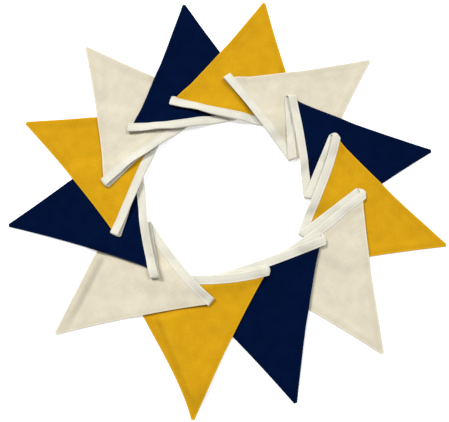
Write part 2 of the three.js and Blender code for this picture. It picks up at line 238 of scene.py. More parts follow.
# %% [markdown]
# Creases and waves. Cotton that was folded in a packet keeps soft ridges, and a sewn edge puckers a
# little beside its tape. A bump map could shade them, but they would vanish in a side view, so they
# are in the surface: each crease is a ridge along a line, a bell curve across it, and the waves are a
# few sine waves of random direction, the same each run.

# %% Creases and waves
WAVE_HEIGHT = 0.5  # of the broad waves
WAVE_LENGTHS = (46.0, 60.0, 85.0)
WAVE_START = 20.0  # how far out from the tape they are whole
PUCKER_HEIGHT = 0.35  # of the small waves beside the tape
PUCKER_LENGTHS = (11.0, 17.0, 29.0)
PUCKER_START = 2.0
PUCKER_REACH = 26.0
ABOUT_A_TURN = 6.28  # phases are drawn from nought to this
WAVE_SEED = 100  # of the first pennant; the next ones count on from it
CREASES = {  # pennant: rows of (x, y) to (x, y), height, reach to the right, to the left
    2: [((-20, 30), (40, 12), 0.7, 4.0, 8.0)],
    8: [((47.5, 32), (-9, 158), 7.5, 6.5, 26.0)],
    12: [((-52, 60), (-4, 130), 0.9, 6.0, 9.0), ((-12, 40), (8, 120), 0.7, 6.0, 8.0),
         ((-34, 24), (-8, 12), 1.1, 2.5, 2.5), ((-28, 34), (2, 18), 0.9, 3.0, 3.0)],
}
CREASE_START = 10.0  # how far out from the tape a crease is whole
CREASE_BEFORE = 0.15  # share of its length by which a crease starts early
CREASE_PAST = 0.04  # and by which it runs on
CREASE_FADE = 0.25  # share of its length in which an end fades


def draw_waves(i):
    """Random directions and phases of the waves, and phases of the puckers, the same each run."""
    draw = np.random.default_rng(WAVE_SEED + i)
    headings = draw.uniform(0, 2 * np.pi, len(WAVE_LENGTHS))
    phases = draw.uniform(0, ABOUT_A_TURN, len(WAVE_LENGTHS))
    broad = [(math.cos(heading) * 2 * math.pi / length, math.sin(heading) * 2 * math.pi / length, phase)
             for heading, length, phase in zip(headings, WAVE_LENGTHS, phases)]
    small = [(2 * math.pi / length, draw.uniform(0, ABOUT_A_TURN)) for length in PUCKER_LENGTHS]
    return dict(waves=broad, puckers=small, creases=CREASES.get(i + 1, []))


def waves(flag, x, y):
    """Height of the waves and the puckers at x along and y out from the top edge: a mean of sines for
    each, from nought up to its height."""
    broad = sum(np.sin(a * x + b * y + c) for a, b, c in flag["waves"]) / len(flag["waves"])
    puckers = sum(np.sin(a * x + c) for a, c in flag["puckers"]) / len(flag["puckers"])
    beside = near(np.abs(y), PUCKER_REACH) * np.clip(y / PUCKER_START, 0, 1)
    height = WAVE_HEIGHT * (0.5 + 0.5 * broad) * np.clip(y / WAVE_START, 0, 1)
    return height + PUCKER_HEIGHT * (0.5 + 0.5 * puckers) * beside


def ridges(flag, x, y):
    """Height of the creases: across each a bell curve, with its own reach on either side of the line,
    and its ends faded."""
    height = 0.0
    for start, end, rise, right, left in flag["creases"]:
        run = np.subtract(end, start)
        dx, dy = x - start[0], y - start[1]
        part = (dx * run[0] + dy * run[1]) / (run @ run)
        off = (dx * -run[1] + dy * run[0]) / np.linalg.norm(run)
        bell = np.exp(-(off / np.where(off > 0, left, right)) ** 2)
        ends = smooth((part + CREASE_BEFORE) / CREASE_FADE) * smooth((1 + CREASE_PAST - part) / CREASE_FADE)
        height = height + rise * bell * ends * smooth(y / CREASE_START)
    return height


for i, flag in enumerate(flags):
    flag.update(draw_waves(i))
print("creases:", sum(len(flag["creases"]) for flag in flags))

# %% [markdown]
# The layers. Each pennant makes two: the cloth with the tape along it, and the tape on its way back
# with the turned corner. The exact outlines could be used, but a few convex ones are enough for the
# heights: thin ones where there is cloth or bare tape, thick ones where the tape has cloth in it.


# %% Outlines of the layers
def outside(points, outline):
    """How far points lie outside a convex outline: the distance to its nearest side, or nought inside."""
    outline = np.asarray(outline)
    along = np.roll(outline, -1, axis=0) - outline
    start = points[..., None, :] - outline
    turn = along[:, 0] * start[..., 1] - along[:, 1] * start[..., 0]
    part = np.clip((start * along).sum(-1) / (along * along).sum(-1), 0, 1)
    distance = np.linalg.norm(start - part[..., None] * along, axis=-1).min(-1)
    inside = (turn >= 0).all(-1) | (turn <= 0).all(-1)
    return np.where(inside, 0.0, distance)


def missed(points, outlines, reach):
    """From 0 on an outline to 1 past the reach of them all: the product of what each one leaves."""
    rest = 1.0
    for outline in outlines:
        rest = rest * (1 - near(outside(points, outline), reach))
    return rest


def closed_edge(flag, x):
    """The closed edge of the tape at x."""
    return edge(flag, x) + inward(flag, x) * TAPE_WIDTH


def strip(flag, start, end):
    """The outline of the tape along a pennant, from one x to another."""
    return [closed_edge(flag, start), closed_edge(flag, end), edge(flag, end), edge(flag, start)]


def returning(flag, start, end):
    """The outline of the tape on its way back, from one distance past the fold to another."""
    return [flag["turn"] + d * flag["back"] + w * flag["back_inward"]
            for d, w in ((start, 0), (end, 0), (end, TAPE_WIDTH), (start, TAPE_WIDTH))]


def two_layers(flag):
    """The pennant with the tape along it, and the turned corner with the tape on its way back."""
    start, end = -HALF - flag["lead"], flag["turn_x"] + TAPE_WIDTH / 2
    middle = (start + end) / 2
    panel = [closed_edge(flag, start), closed_edge(flag, end), flag["exit"], *flag["tips"][::-1],
             at(flag, -HALF, 0)]
    corner = [flag["turn"], flag["folded_corner"], flag["exit"]]
    bare = returning(flag, flag["corner_length"], flag["back_length"])
    filled = returning(flag, -TAPE_WIDTH / 2, flag["corner_length"] + TAPE_WIDTH / 2)
    return [dict(flag=flag, thin=[panel], thick=[strip(flag, start, middle), strip(flag, middle, end)]),
            dict(flag=None, thin=[corner, bare], thick=[filled])]


layers = [layer for flag in flags for layer in two_layers(flag)]
print(len(layers), "layers")

# %% [markdown]
# How the layers lie. Cloth simulation could drop twelve pennants on each other, but they lap in a
# ring, so none can be dropped first. Here the height is a sum instead. A layer lies on all the layers
# under it, and each of those takes up its thickness inside its outline and eases off to nothing a
# little way outside it.
# Cotton has some spring as well. A pennant's leading side stands off the one before, its trailing
# side curls up where no other presses it flat, and the closed edge of the tape stands up a little.
# These lifts make the shadows that part one layer from the next.

# %% Sides that stand up
LIFT_WIDTH = 30.0  # how far in from its leading side a pennant stands up
LIFT_START = 15.0  # how far out from the tape that is whole
TIP_EASE = 45.0  # how far before the tip it comes down again
CURL_IN = 15.0  # how far in from its trailing side a curl starts
CURL_WIDTH = 9.0  # the slope of a curl, from its start to its full height
CURL_CLEAR = 6.0  # how far from the next pennant, which presses it flat, a curl is whole


def relief(flag, points):
    """A pennant's waves and creases at points in the plane, and how far its sides stand up. The next
    pennant presses the creases and the curl flat."""
    if flag is None:
        return 0.0
    local = points - flag["middle"]
    x, y = local @ flag["along"], local @ flag["out"]
    width = half_width(y / FLAG_HEIGHT)
    leading = np.maximum((width + x) * SIDE_COSINE, 0)
    trailing = (width - x) * SIDE_COSINE
    along = np.clip(y / LIFT_START, 0, 1) * smooth((FLAG_HEIGHT - y) / TIP_EASE)
    free = missed(points, layers[(2 * flag["index"] + 2) % len(layers)]["thin"], CURL_CLEAR)
    curl = flag["curl"] * smooth((CURL_IN - trailing) / CURL_WIDTH) * free
    lift = flag["lift"] * near(leading, LIFT_WIDTH)
    return waves(flag, x, y) + ridges(flag, x, y) * free + (lift + curl) * along


print("relief of pennant 8:", relief(flags[7], at(flags[7], 0, HALF)).round(1), "mm")

# %% Heights of the layers
SPACING = 0.2  # air between a layer and the one under it
DRAPE = 20.0  # how far a layer takes to come down past the edge of one below
LIFT_REACH = 12.0  # how far the cloth takes to come down from the fold of the tape
LAYERS_UNDER = 10  # how many earlier layers can lie under one


def cover(layer, points):
    """The height that a layer takes up for what lies on it: its thickness and its relief inside its
    outlines, more where the tape has cloth in it, and nought well outside."""
    thick = missed(points, layer["thick"], DRAPE)
    inside = 1 - thick * missed(points, layer["thin"], DRAPE)
    return (BARE + SPACING + relief(layer["flag"], points)) * inside + (BAND - BARE) * (1 - thick)


def under(index, points):
    """The height of a layer's underside: the sum of what the layers under it take up."""
    return sum(cover(layers[(index - k) % len(layers)], points) for k in range(1, LAYERS_UNDER + 1))


def cloth_height(index, points):
    """The middle of the cloth: on what is under it, and up into the fold of the tape."""
    layer = layers[index]
    rise = (BAND - CLOTH) / 2 * (1 - missed(points, layer["thick"], LIFT_REACH))
    return under(index, points) + CLOTH / 2 + rise + relief(layer["flag"], points)


print("first fold lies", under(0, flags[0]["turn"]).round(1), "mm up")

# %% The spring of the tape
SPRING_REACH = 22.0  # how far the tape takes to spring up from under the layers on top of it
LAYERS_OVER = 3  # how many later layers can lie on it
END_LIFT = 0.9  # how far the fold at a leading corner stands up
END_REACH = 28.0  # how far along the pennant that fades out


def spring(index, points, share):
    """How far a tape stands up from what it lies on, at shares from its open edge to its closed one: a
    parabola across it, and more at the leading end. Nought under the layers on top of it."""
    flag = layers[index]["flag"]
    if flag is None:
        return 0.0
    free = 1.0
    for k in range(1, LAYERS_OVER + 1):
        above = layers[(index + k) % len(layers)]
        free = free * missed(points, above["thin"] + above["thick"], SPRING_REACH)
    end = np.maximum((points - flag["middle"]) @ flag["along"] + HALF + flag["lead"], 0)
    return (flag["spring"] * share ** 2 + END_LIFT * near(end, END_REACH)) * free


print("tape 10 stands", spring(18, closed_edge(flags[9], 0), 1).round(1), "mm off the cloth under it")

# %% [markdown]
# From arrays to a mesh. Every piece of cloth is first a middle surface, made of patches that share
# their edges. Points that coincide are welded. The surface is then given its thickness: each point
# moves half of it out along its normal, on both sides. Where the thickness falls to nought, at a
# turned seam, both sides share the point, so the mesh is closed and its edge is round.
# Blender's Solidify gives one thickness all over; this way the seams can be round and fuller.

# %% Welding
WELD_STEPS = 1e4  # for each millimetre: points in the same step are one


def grid_faces(index):
    """The four corners of each face between neighbours in a grid of point numbers."""
    return np.stack([index[:-1, :-1], index[:-1, 1:], index[1:, 1:], index[1:, :-1]], -1).reshape(-1, 4)


def weld(patches):
    """One surface from patches, each (points, values) on a grid. Points that coincide become one."""
    faces, offset = [], 0
    for points, _ in patches:
        index = np.arange(points[..., 0].size).reshape(points.shape[:2])
        faces.append(grid_faces(index) + offset)
        offset += index.size
    points = np.concatenate([p.reshape(-1, 3) for p, _ in patches])
    values = np.concatenate([v.reshape(-1, v.shape[-1]) for _, v in patches])
    _, first, index = np.unique(np.round(points * WELD_STEPS).astype(np.int64), axis=0,
                                return_index=True, return_inverse=True)
    return points[first], values[first], index.reshape(-1)[np.concatenate(faces)]


print("a grid of 3 by 4 points has", len(grid_faces(np.arange(12).reshape(3, 4))), "faces")


# %% Thickness
LEAST_LENGTH = 1e-12  # of a normal, so that none is divided by nought


def normals_of(points, faces):
    """At each point the sum of its faces' normals, brought to length one. A face's normal is the cross
    product of its diagonals."""
    corners = points[faces]
    normal = np.cross(corners[:, 2] - corners[:, 0], corners[:, 3] - corners[:, 1])
    total = np.zeros_like(points)
    for k in range(4):
        np.add.at(total, faces[:, k], normal)
    return total / np.maximum(np.linalg.norm(total, axis=1, keepdims=True), LEAST_LENGTH)


def thicken(points, faces, thickness):
    """Both sides of a surface, each half the thickness out along the normal. They share the points
    where the thickness is nought."""
    shift = normals_of(points, faces) * thickness[:, None] / 2
    open_points = np.flatnonzero(thickness > 0)
    other = np.arange(len(points))
    other[open_points] = len(points) + np.arange(len(open_points))
    both = np.concatenate([points + shift, (points - shift)[open_points]])
    return both, np.concatenate([faces, other[faces[:, ::-1]]]), open_points


square = np.array([[0.0, 0.0, 0.0], [1.0, 0.0, 0.0], [1.0, 1.0, 0.0], [0.0, 1.0, 0.0]])
print("a thickened square has", len(thicken(square, np.array([[0, 1, 2, 3]]), np.ones(4))[1]), "sides")


# %% A piece from its arrays
def faces_to_loops(faces):
    """All corners in a row, and where each face starts. A face with a doubled corner becomes a
    triangle, and one with two doubled corners is left out."""
    same = faces == np.roll(faces, -1, axis=1)
    quads = faces[~same.any(1)]
    once = same.sum(1) == 1
    tris = faces[once][~same[once]].reshape(-1, 3)
    tris = tris[(tris[:, 0] != tris[:, 2]) & (tris[:, 0] != tris[:, 1])]
    starts = np.concatenate([np.arange(len(quads)) * 4, len(quads) * 4 + np.arange(len(tris)) * 3])
    return np.concatenate([quads.ravel(), tris.ravel()]), starts


def put_piece(name, points, faces, uv, material):
    """A mesh object at the origin, from points and uv in millimetres. Nothing lies below the floor."""
    points = np.column_stack([points[:, :2], np.maximum(points[:, 2], 0)])
    loops, starts = faces_to_loops(faces)
    mesh = bpy.data.meshes.new(name)
    mesh.vertices.add(len(points))
    mesh.vertices.foreach_set("co", (points * MM).astype(np.float32).ravel())
    mesh.loops.add(len(loops))
    mesh.loops.foreach_set("vertex_index", loops.astype(np.int32))
    mesh.polygons.add(len(starts))
    mesh.polygons.foreach_set("loop_start", starts.astype(np.int32))
    mesh.update(calc_edges=True)
    mesh.uv_layers.new(name="cut").data.foreach_set("uv", (uv[loops] * MM).astype(np.float32).ravel())
    mesh.polygons.foreach_set("use_smooth", np.ones(len(starts), bool))
    mesh.materials.append(material)
    mesh.validate()
    piece = bpy.data.objects.new(name, mesh)
    bpy.context.scene.collection.objects.link(piece)
    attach(piece, "root")
    return piece


print("a doubled corner leaves", len(faces_to_loops(np.array([[0, 1, 2, 2]]))[0]), "corners")

# %% [markdown]
# The finishes. Every cloth here is plain woven. An image of cloth could be laid on it, but it would
# blur close by. So one node group makes the weave from the piece's own cut coordinates, and a second
# one the uneven look of natural cotton: thicker threads both ways, and soft blotches. The groups put
# out plain heights and shades. Each material mixes its own colour and keeps its own Principled shader.


# %% Node helpers
def fill(tree, node, values):
    """Put values into a node's inputs, and link those that are sockets."""
    for key, value in values.items():
        if isinstance(value, bpy.types.NodeSocket):
            tree.links.new(value, node.inputs[key])
        else:
            node.inputs[key].default_value = value


def add_node(tree, kind, values, **settings):
    """A shader node with its settings and inputs."""
    node = tree.nodes.new("ShaderNode" + kind)
    for key, value in settings.items():
        setattr(node, key, value)
    fill(tree, node, values)
    return node


def math_node(tree, operation, *values):
    """What one Math node makes of one or two values."""
    return add_node(tree, "Math", dict(enumerate(values)), operation=operation).outputs[0]


def new_group(name, number, value, result):
    """A shader node group that reads the cut coordinates and a number, and puts out another number."""
    tree = bpy.data.node_groups.new(name, "ShaderNodeTree")
    tree.interface.new_socket(name="Cut", in_out="INPUT", socket_type="NodeSocketVector")
    given = tree.interface.new_socket(name=number, in_out="INPUT", socket_type="NodeSocketFloat")
    given.default_value = value
    tree.interface.new_socket(name=result, in_out="OUTPUT", socket_type="NodeSocketFloat")
    return tree, tree.nodes.new("NodeGroupInput").outputs, tree.nodes.new("NodeGroupOutput")


print("kinds of shader node:", sum(name.startswith("ShaderNode") for name in dir(bpy.types)))

# %% The weave
THREAD_HEIGHT = 0.6  # of a thread where it neither passes over nor under
CROSSING_LIFT = 0.4  # how much higher it is where it passes over


def make_weave():
    """Plain weave. Each thread is the hump of |sin|, lifted where it passes over and lowered where it
    passes under; which one is over changes with the sign of sin(u) sin(v). The higher one shows."""
    tree, given, result = new_group("plain weave", "Threads", 2000.0, "Height")
    cut = add_node(tree, "SeparateXYZ", {0: given["Cut"]}).outputs
    rate = math_node(tree, "MULTIPLY", given["Threads"], math.pi)
    across = math_node(tree, "SINE", math_node(tree, "MULTIPLY", cut[0], rate))
    down = math_node(tree, "SINE", math_node(tree, "MULTIPLY", cut[1], rate))
    lift = math_node(tree, "MULTIPLY", math_node(tree, "MULTIPLY", across, down), CROSSING_LIFT)
    warp = math_node(tree, "MULTIPLY", math_node(tree, "ABSOLUTE", across),
                     math_node(tree, "ADD", lift, THREAD_HEIGHT))
    weft = math_node(tree, "MULTIPLY", math_node(tree, "ABSOLUTE", down),
                     math_node(tree, "SUBTRACT", THREAD_HEIGHT, lift))
    fill(tree, result, {"Height": math_node(tree, "MAXIMUM", warp, weft)})
    return tree


WEAVE = make_weave()
print("weave:", len(WEAVE.nodes), "nodes")

# %% Uneven cotton
SLUB_ACROSS = 1600  # noise cells for each metre, across a thread
SLUB_ALONG = 60  # and along it
BLOTCH_SCALE = 45
NOISE_DETAIL = 3.0


def make_slub():
    """Uneven cotton. Noise drawn out along one thread direction and along the other gives the thick
    threads, and noise of about two centimetres the blotches. Blotch is their share in the mix of both.
    Shade lies round a half."""
    tree, given, result = new_group("uneven cotton", "Blotch", 0.5, "Shade")
    parts = []
    for stretch in ((SLUB_ACROSS, SLUB_ALONG, 1), (SLUB_ALONG, SLUB_ACROSS, 1),
                    (BLOTCH_SCALE, BLOTCH_SCALE, 1)):
        spot = add_node(tree, "Mapping", {"Vector": given["Cut"], "Scale": stretch}).outputs[0]
        noise = add_node(tree, "TexNoise", {"Vector": spot, "Scale": 1.0, "Detail": NOISE_DETAIL})
        parts.append(noise.outputs[0])
    threads = math_node(tree, "MULTIPLY", math_node(tree, "ADD", parts[0], parts[1]), 0.5)
    blotch = math_node(tree, "MULTIPLY", math_node(tree, "SUBTRACT", parts[2], threads), given["Blotch"])
    fill(tree, result, {"Shade": math_node(tree, "ADD", threads, blotch)})
    return tree


SLUB = make_slub()
print("uneven cotton:", len(SLUB.nodes), "nodes")

# %% [markdown]
# A seam gets painted light and shade: a painted highlight on the very edge, and painted shade over
# the seam allowance inside it. This could be painted by hand. Here each pennant carries its distance
# from the seam as an attribute instead, and a colour ramp turns that into the painted light and shade.

# %% Cotton materials
ROUGHNESS = 0.92
BUMP_STRENGTH = 0.6
DARKEST = 0.34  # the shade at which the cloth has its dark colour
LIGHTEST = 0.66
NO_SHADE = 0.5
# painted light and shade by distance from the seam: a painted highlight on the very edge, painted shade
# over the seam allowance
PAINTED_SEAM_STOPS = ((0.0, 0.62), (0.06, 0.58), (0.1, 0.43), (0.3, 0.45), (0.42, NO_SHADE))


def painted_seam_shading(tree):
    """Painted light and shade at a distance from the seam: a painted highlight on the very edge, and
    painted shade over the seam allowance.
    """
    distance = add_node(tree, "Attribute", {}, attribute_name="seam").outputs["Fac"]
    band = add_node(tree, "ValToRGB", {0: distance})
    for spot, value in PAINTED_SEAM_STOPS:
        stop = band.color_ramp.elements.new(spot) if spot else band.color_ramp.elements[0]
        stop.color = (value, value, value, 1)
    band.color_ramp.elements[-1].color = (NO_SHADE, NO_SHADE, NO_SHADE, 1)
    return math_node(tree, "SUBTRACT", band.outputs[0], NO_SHADE)


def cotton(name, dark, light, threads, depth, gloss, blotch=0.5, painted_seams=False):
    """Plain-woven cotton between two colours. threads is per metre, depth in millimetres. If asked,
    the colour at a seam gets a painted highlight on the very edge and painted shade over the seam allowance
    inside it."""
    material = bpy.data.materials.new(name)
    material.use_nodes = True
    tree = material.node_tree
    cut = add_node(tree, "UVMap", {}, uv_map="cut").outputs["UV"]
    weave = add_node(tree, "Group", {"Threads": threads, "Cut": cut}, node_tree=WEAVE)
    slub = add_node(tree, "Group", {"Blotch": blotch, "Cut": cut}, node_tree=SLUB)
    tone = slub.outputs["Shade"]
    # painted highlight on the seam edge, painted shade over the seam allowance
    if painted_seams:
        tone = math_node(tree, "ADD", tone, painted_seam_shading(tree))
    shade = add_node(tree, "MapRange", {"Value": tone, "From Min": DARKEST, "From Max": LIGHTEST})
    ends = {"Factor": shade.outputs["Result"], "A": (*dark, 1), "B": (*light, 1)}
    mix = add_node(tree, "Mix", ends, data_type="RGBA")
    height = math_node(tree, "ADD", weave.outputs["Height"], slub.outputs["Shade"])
    bump = add_node(tree, "Bump", {"Distance": depth * MM, "Strength": BUMP_STRENGTH, "Height": height})
    fill(tree, tree.nodes["Principled BSDF"], {
        "Roughness": ROUGHNESS, "Specular IOR Level": gloss, "Base Color": mix.outputs["Result"],
        "Normal": bump.outputs["Normal"]})
    return material


FINISHES = {
    # the three pennant cloths carry the painted highlight and shade at the seam
    "navy": cotton("navy cotton", (0.0004, 0.0036, 0.0225), (0.0008, 0.0058, 0.0310),
                   threads=2200, depth=0.07, gloss=0.01, painted_seams=True),
    "mustard": cotton("mustard cotton", (0.45, 0.228, 0.0040), (0.58, 0.315, 0.0080),
                      threads=2200, depth=0.07, gloss=0.04, blotch=0.35, painted_seams=True),
    "cream": cotton("cream cotton", (0.510, 0.462, 0.352), (0.640, 0.592, 0.470),
                    threads=1900, depth=0.09, gloss=0.05, blotch=0.35, painted_seams=True),
    "binding": cotton("binding tape", (0.565, 0.543, 0.460), (0.655, 0.636, 0.550),
                      threads=1700, depth=0.09, gloss=0.05),
    "thread": cotton("sewing thread", (0.62, 0.60, 0.53), (0.72, 0.70, 0.63),
                     threads=4000, depth=0.04, gloss=0.05),
}
print("finishes:", ", ".join(FINISHES))

# %% [markdown]
# A pennant. It is two triangles of cotton, sewn face to face and turned right side out, so its side
# edges are round and full, and there is no stitching on its face. The panel is a grid of rows from
# the top edge, in the tape, to the blunt tip. Past the crease the cloth goes half a turn up and over,
# on a radius that is half the gap between the two layers, and the corner lies back on the panel.
# One grid could be bent over the crease, but the crease would then cut across its rows. So there are
# two patches that meet along the crease, and the weld joins them.

# %% Rows and columns of the cloth
ROW_STEP = 2.6  # from one row of points to the next
RIM = np.array([0.0, 0.12, 0.35, 0.75, 1.3])  # points close to a seam, for its roundness
TUCKED = np.array([-TUCK, 0.6 - TUCK, -6.0, -3.0])  # rows inside the fold of the tape


def rim_steps(width, count):
    """Shares from 0 to 1 across rows of the given widths: close together at both ends, even between."""
    width = width[:, None]
    rim = RIM * np.minimum(1, width / (4 * RIM[-1])) / width
    inner = np.linspace(0, 1, count)[1:-1] * (1 - 2 * rim[:, -1:]) + rim[:, -1:]
    return np.concatenate([rim, inner, 1 - rim[:, ::-1]], axis=1)


def row_heights(flag):
    """The rows of the cloth: from inside the tape to the crease's end, and on from there to the tip."""
    end = flag["exit_height"]
    upper = np.linspace(0, end, round(end / ROW_STEP) + 1)
    lower = np.linspace(end, FLAG_HEIGHT - RIM[-1], round((FLAG_HEIGHT - end) / ROW_STEP))
    return np.concatenate([TUCKED, upper]), np.concatenate([lower, FLAG_HEIGHT - RIM[-2::-1]])


def on_crease(flag, rows):
    """Where each row meets the crease."""
    return flag["turn"] + (rows / flag["exit_height"])[:, None] * (flag["exit"] - flag["turn"])


print("rows of the first pennant:", [len(rows) for rows in row_heights(flags[0])])

# %% Thickness and place in the cut
HEM_RADIUS = 0.8  # roundness of the turned seam
SEAM_FULLNESS = 0.3  # extra thickness where the seam allowance lies inside
SEAM_ALLOWANCE = 6.0
ALLOWANCE_EASE = 2.0  # how far the extra thickness takes to fade
SEAM_SCALE = 25.0  # the distance from a seam at which its attribute is one
NOTHING = 1e-6  # a length that counts as none


def cut_values(flag, flat, rows):
    """Thickness and place in the cut, for points still flat. A round edge at the seams and at the top
    edge, a fuller band over the seam allowance, then plain cloth."""
    u, v = (flat - flag["middle"]) @ flag["along"], (flat - flag["middle"]) @ flag["out"]
    side = (half_width(np.where(rows < 0, 0, v) / FLAG_HEIGHT) - np.abs(u)) * SIDE_COSINE
    seam = np.minimum(side, FLAG_HEIGHT - rows)
    distance = np.minimum(seam, rows + TUCK)
    distance = np.where(distance < NOTHING, 0, distance)
    roundness = np.sqrt(1 - (1 - np.clip(distance / HEM_RADIUS, 0, 1)) ** 2)
    full = SEAM_FULLNESS * near(np.maximum(seam - SEAM_ALLOWANCE, 0), ALLOWANCE_EASE)
    return np.stack([(CLOTH + full) * roundness, u, v, seam / SEAM_SCALE], -1)


print("a pennant is", CLOTH, "mm thick, and", CLOTH + SEAM_FULLNESS, "mm over its seam allowance")

# %% The panel
PANEL_COLUMNS = 54  # across the panel
HOLLOWS = {8: 3.4}  # pennant: how much more its trailing side is drawn in
HOLLOW_PEAK = 27 / 4  # brings p^2 (1 - p), which is 4/27 at its highest, up to one


def panel_patch(index, rows, both):
    """The cloth from its leading side to the crease, or below the crease to its trailing side. The bow
    of the top edge fades out down to the crease's end."""
    flag = flags[index]
    width = half_width(rows / FLAG_HEIGHT)
    start = at(flag, -width, rows)
    end = at(flag, width, rows) if both else on_crease(flag, rows)
    share = rim_steps(np.linalg.norm(end - start, axis=1), PANEL_COLUMNS)
    flat = start[:, None] + share[..., None] * (end - start)[:, None]
    bow = sag(flag, -HALF + share * (flag["turn_x"] + HALF)) - share * sag(flag, flag["turn_x"])
    bow = bow * (1 - np.clip(rows / flag["exit_height"], 0, 1))[:, None]
    flat = flat + bow[..., None] * flag["out"]
    values = cut_values(flag, flat, rows[:, None])
    if both:
        part = (rows - rows[0]) / (FLAG_HEIGHT - rows[0])
        drawn = HOLLOW_PEAK * HOLLOWS.get(index + 1, 0) * (part ** 2 * (1 - part))[:, None] * share
        flat = flat - drawn[..., None] * flag["along"]
    tucked = np.clip(-rows / TAPE_WIDTH, 0, 1)[:, None]
    stand = spring(2 * index, flat, tucked) * near(np.maximum(rows, 0), END_REACH)[:, None]
    height = cloth_height(2 * index, flat) + stand
    return np.concatenate([flat, height[..., None]], -1), values


panel, _ = panel_patch(0, row_heights(flags[0])[1], True)
print("below the crease the first panel lies up to", round(panel[..., 2].max(), 1), "mm high")

# %% The turned corner
CORNER_COLUMNS = 22  # across the turned corner
ARC_COLUMNS = 9  # round the half turn at the crease


def corner_patch(index, rows):
    """The turned corner. Its cloth is laid out flat first, past the crease. The distance past the
    crease then goes round the half turn, and what is left over lies back on the panel."""
    flag = flags[index]
    crease = on_crease(flag, rows)
    below = cloth_height(2 * index, crease)[:, None]
    above = cloth_height(2 * index + 1, crease)[:, None]
    radius = (above - below) / 2
    beside = at(flag, half_width(rows / FLAG_HEIGHT), rows) - crease
    width = np.maximum(beside @ flag["away"], NOTHING)[:, None]
    round_part = np.minimum(np.pi * radius, width)
    flat_part = np.maximum(width - round_part, NOTHING)
    shares = rim_steps(flat_part[:, 0], CORNER_COLUMNS)[:, len(RIM):]
    arc = np.linspace(0, 1, ARC_COLUMNS) * round_part
    past = np.concatenate([arc, round_part + shares * (width - round_part)], axis=1)
    flat = crease[:, None] + (past / width)[..., None] * beside[:, None]
    angle = np.clip(past / radius, 0, np.pi)
    offset = radius * np.sin(angle) - np.maximum(past - np.pi * radius, 0)
    along = (past / width) * (beside @ flag["crease"])[:, None]
    plan = crease[:, None] + along[..., None] * flag["crease"] + offset[..., None] * flag["away"]
    bent = below + radius * (1 - np.cos(angle))
    height = np.where(past <= round_part, bent, cloth_height(2 * index + 1, plan))
    return np.concatenate([plan, height[..., None]], -1), cut_values(flag, flat, rows[:, None])


corner, _ = corner_patch(0, row_heights(flags[0])[0])
print("the first turned corner lies up to", round(corner[..., 2].max(), 1), "mm high")


# %% The twelve pennants
def make_pennant(index):
    """The panel's two patches and the corner's, welded, thickened and put in place."""
    flag = flags[index]
    upper, lower = row_heights(flag)
    patches = [panel_patch(index, upper, False), corner_patch(index, upper),
               panel_patch(index, lower, True)]
    points, values, faces = weld(patches)
    points, faces, doubled = thicken(points, faces, values[:, 0])
    values = np.concatenate([values, values[doubled]])
    name = f"pennant_{index + 1:02d}_{flag['colour']}"
    piece = put_piece(name, points, faces, values[:, 1:3], FINISHES[flag["colour"]])
    # distance from the seam, which places the painted highlight and shade on the cloth
    seam = piece.data.attributes.new("seam", "FLOAT", "POINT")
    seam.data.foreach_set("value", np.clip(values[:, 3], 0, 1).astype(np.float32))
    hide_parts(f"flag_{index + 1:02d}_{flag['colour']}")
    return piece


pennants = [make_pennant(i) for i in range(COUNT)]
print("pennants:", sum(len(piece.data.polygons) for piece in pennants), "faces in all")

# %% [markdown]
# The tape is a woven strip, folded lengthwise over the top edges and sewn shut near its open edge.
# Its section, a long narrow U, is carried along the string: along a pennant, half a turn at the
# crease, back again, and half a turn at the next leading corner. Every point of the section takes its
# own height from the layers below, so the tape bends over them as the cloth in it does.
# A curve with a bevel would be quicker, but it can't fold flat without twisting.

# %% The section of the tape
TAPE_SPINE = 1.5  # from the closed edge to the bottom of the fold inside
TAPE_NOSE = 1.6  # roundness of the closed edge
STITCH_IN = 2.3  # from the open edge to the row of stitches
GROOVE = 0.28  # how far the stitches draw the tape in
GROOVE_WIDTH = 0.7
PILLOW = 0.12  # how far the tape swells between the stitches and its closed edge
LIP_ROUND = 0.25  # how round its open edges are
LIP_DEPTH = 0.35
FOLD_SQUARENESS = 24  # of the hollow inside: the higher, the squarer its end
INNER = 1 - TAPE_SPINE / TAPE_WIDTH
SIDE_STEPS = np.concatenate([[0, 0.12, LIP_DEPTH, 1.0, 1.7, STITCH_IN, 2.9, 3.7, 5.5, 8.0],
                             TAPE_WIDTH - TAPE_NOSE * (1 - np.sin(np.linspace(0, np.pi / 2, 6)))])
SECTION = np.concatenate([SIDE_STEPS, SIDE_STEPS[-2::-1], SIDE_STEPS * INNER, SIDE_STEPS[-2::-1] * INNER])
OUTER_POINTS = 2 * len(SIDE_STEPS) - 1


def section_heights(thickness):
    """The section at each station: out along one side, round the closed edge and back along the other
    side, then in and out again along the two inner sides. The closed edge is part of an ellipse."""
    half = thickness[:, None] / 2
    nose = np.clip((SIDE_STEPS - (TAPE_WIDTH - TAPE_NOSE)) / TAPE_NOSE, 0, 1)
    lip = LIP_ROUND * (1 - np.clip(SIDE_STEPS / LIP_DEPTH, 0, 1)) ** 2
    swell = PILLOW * np.sin(np.pi * np.clip((SIDE_STEPS - STITCH_IN) / (TAPE_WIDTH - STITCH_IN), 0, 1))
    groove = GROOVE * np.exp(-((SIDE_STEPS - STITCH_IN) / GROOVE_WIDTH) ** 2)
    outer = (half + swell - groove - lip) * np.sqrt(1 - nose ** 2)
    inner = (half - TAPE_LIP) * np.sqrt(1 - (SIDE_STEPS / TAPE_WIDTH) ** FOLD_SQUARENESS)
    return np.concatenate([outer, -outer[:, -2::-1], -inner, inner[:, -2::-1]], axis=1)


print("the section has", len(SECTION), "points")

# %% [markdown]
# The route of the tape. It has a run along each pennant and a run back to the next. At a fold the
# crease is slanted, so the closed edge ends further along than the open one. That slant comes out of
# the tape over some centimetres, as a shear, and the tape keeps its width.

